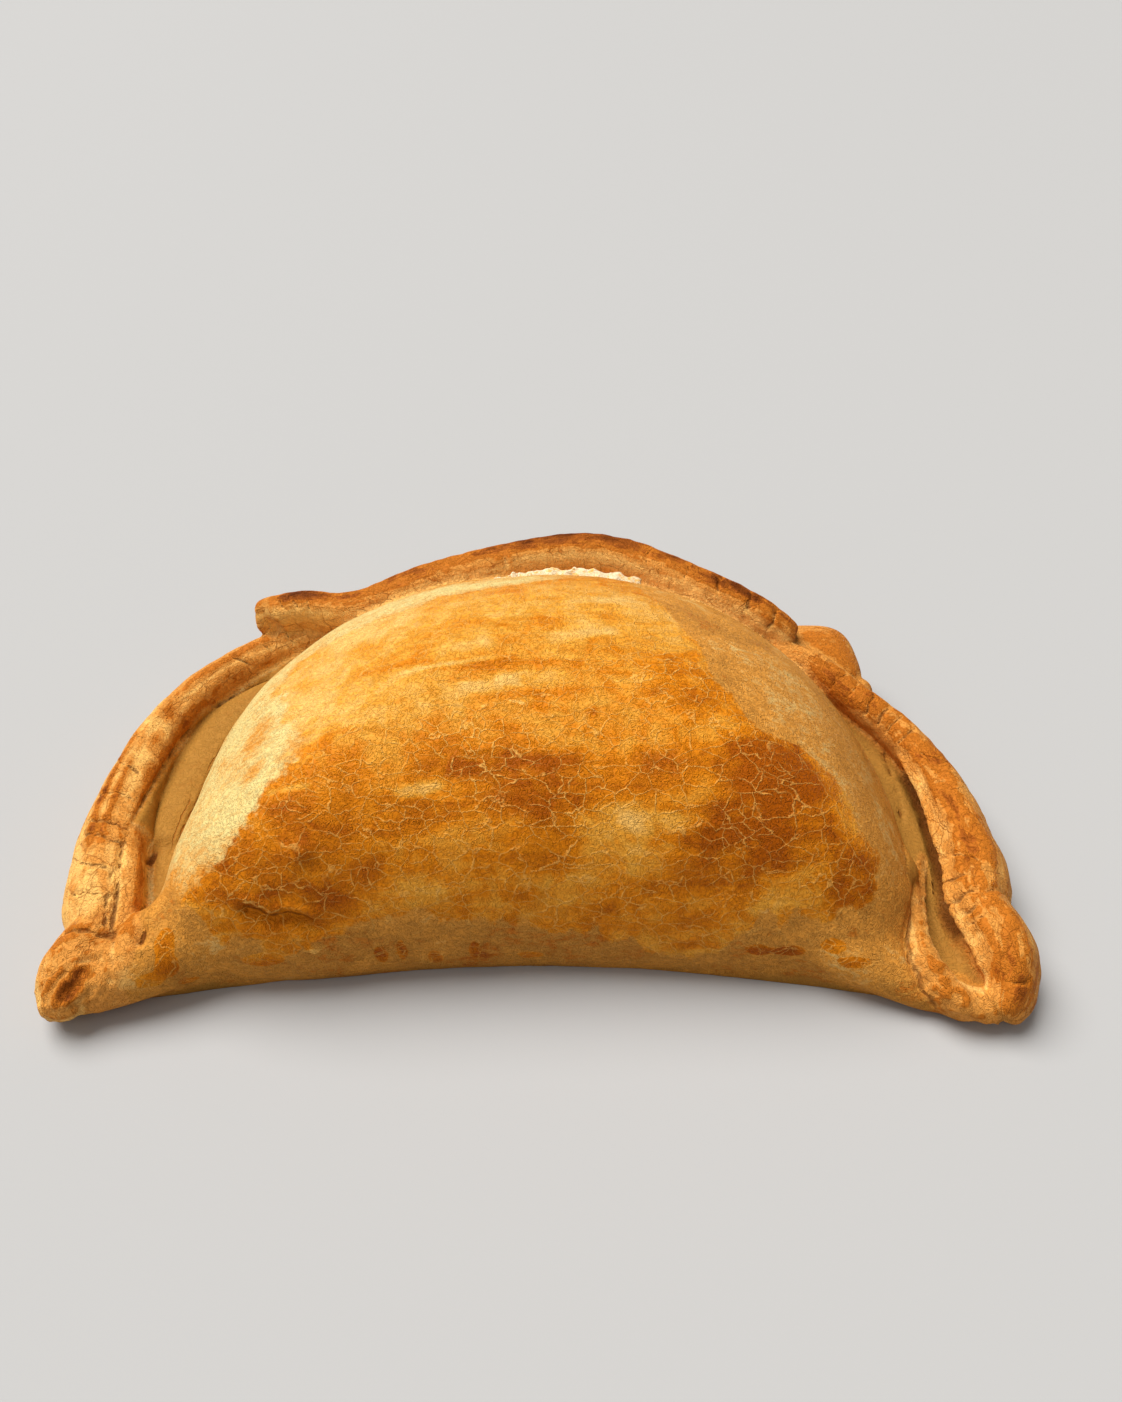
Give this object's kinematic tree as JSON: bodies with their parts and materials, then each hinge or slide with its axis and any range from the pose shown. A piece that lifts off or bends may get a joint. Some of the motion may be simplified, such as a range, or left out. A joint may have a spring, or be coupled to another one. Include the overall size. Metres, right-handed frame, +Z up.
{
  "type": "empanada",
  "caption": "Baked half-moon empanada: a golden, egg-glazed belly with a thick folded hem that runs round the back from tip to tip.",
  "frame": {"origin": "middle of the bounding box in plan, on the flat base that the empanada rests on", "axes": "+X along the length, to the right as seen from the belly's folded edge; +Y back towards the hem; +Z up"},
  "size_m": [0.1702, 0.1076, 0.044],
  "materials": {
    "crust": "satin egg glaze over baked dough"
  },
  "bodies": {
    "root": {"empanada": "crust"}
  },
  "joints": []
}
